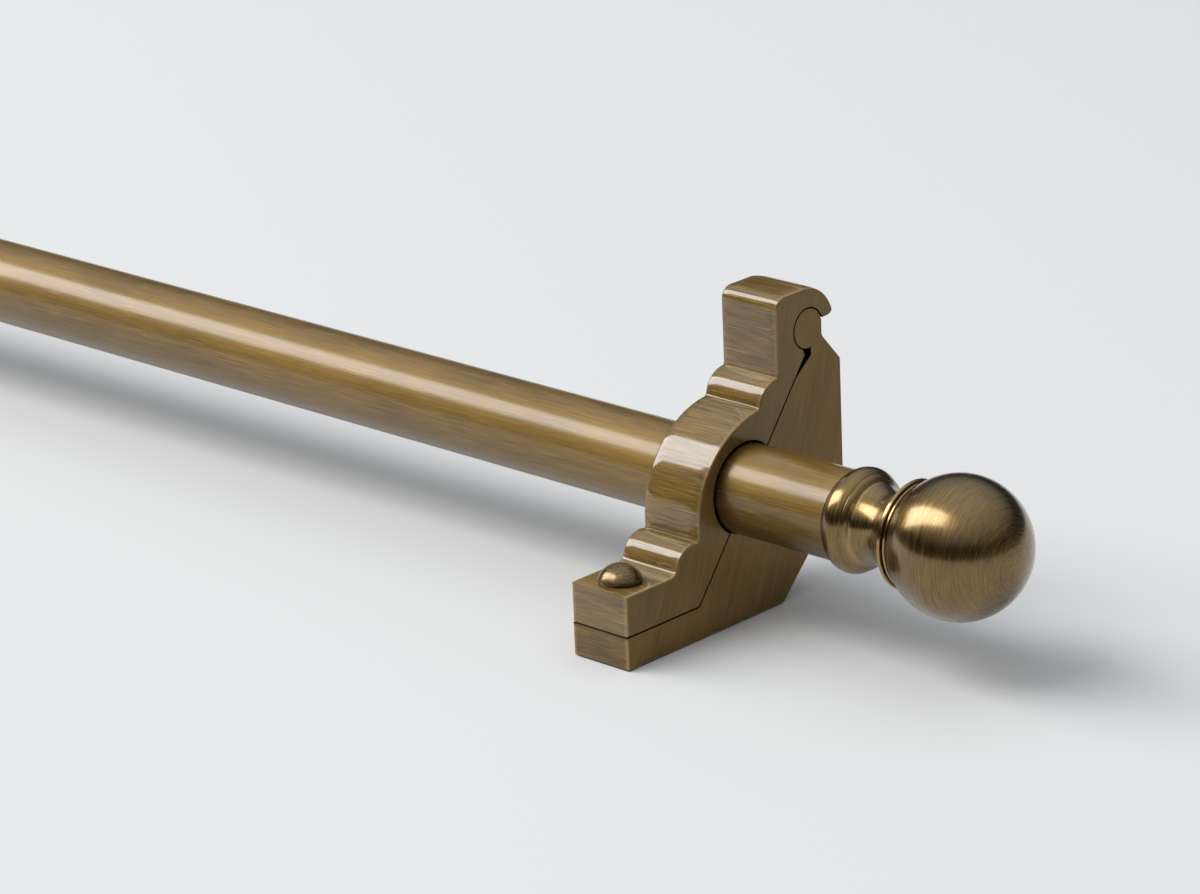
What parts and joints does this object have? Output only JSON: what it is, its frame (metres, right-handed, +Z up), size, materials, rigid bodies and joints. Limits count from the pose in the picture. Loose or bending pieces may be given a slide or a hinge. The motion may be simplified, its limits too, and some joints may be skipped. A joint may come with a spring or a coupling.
{
  "type": "stair carpet rod",
  "caption": "Round brass stair rod with ball finials, held by hinged brackets with a stepped front that open to free the rod and are closed by a dome-headed bolt.",
  "frame": {"origin": "on the tread, under the middle of the rod and midway between the riser face and the front of the brackets' feet", "axes": "+X along the rod, +Y from the feet towards the riser, +Z up"},
  "size_m": [0.8336, 0.0564, 0.0554],
  "materials": {
    "rod_brass": "antique brass, brushed lengthwise",
    "plug_brass": "plain turned brass",
    "stud_steel": "zinc-plated steel",
    "finial_brass": "antique brass, turned and brushed round",
    "base_brass": "antique brass, brushed upright on its sides",
    "cover_brass": "antique brass, brushed across, with polished edges",
    "bolt_brass": "dark antique brass, polished dome"
  },
  "bodies": {
    "rod_and_bases": {"rod_tube": "rod_brass", "right_end_insert": "plug_brass", "right_finial_stud": "stud_steel", "right_finial": "finial_brass", "right_bracket_base": "base_brass", "left_end_insert": "plug_brass", "left_finial_stud": "stud_steel", "left_finial": "finial_brass", "left_bracket_base": "base_brass"},
    "right_cover": {"right_bracket_cover": "cover_brass", "right_cover_bolt": "bolt_brass"},
    "left_cover": {"left_bracket_cover": "cover_brass", "left_cover_bolt": "bolt_brass"}
  },
  "joints": [
    {"name": "right_cover_hinge", "type": "hinge", "parent": "rod_and_bases", "child": "right_cover", "pos_m": [0.35075, 0.01987, 0.04798], "axis": [-1, 0, 0], "range_deg": [0, 38]},
    {"name": "left_cover_hinge", "type": "hinge", "parent": "rod_and_bases", "child": "left_cover", "pos_m": [-0.35075, 0.01987, 0.04798], "axis": [-1, 0, 0], "range_deg": [0, 38]}
  ]
}
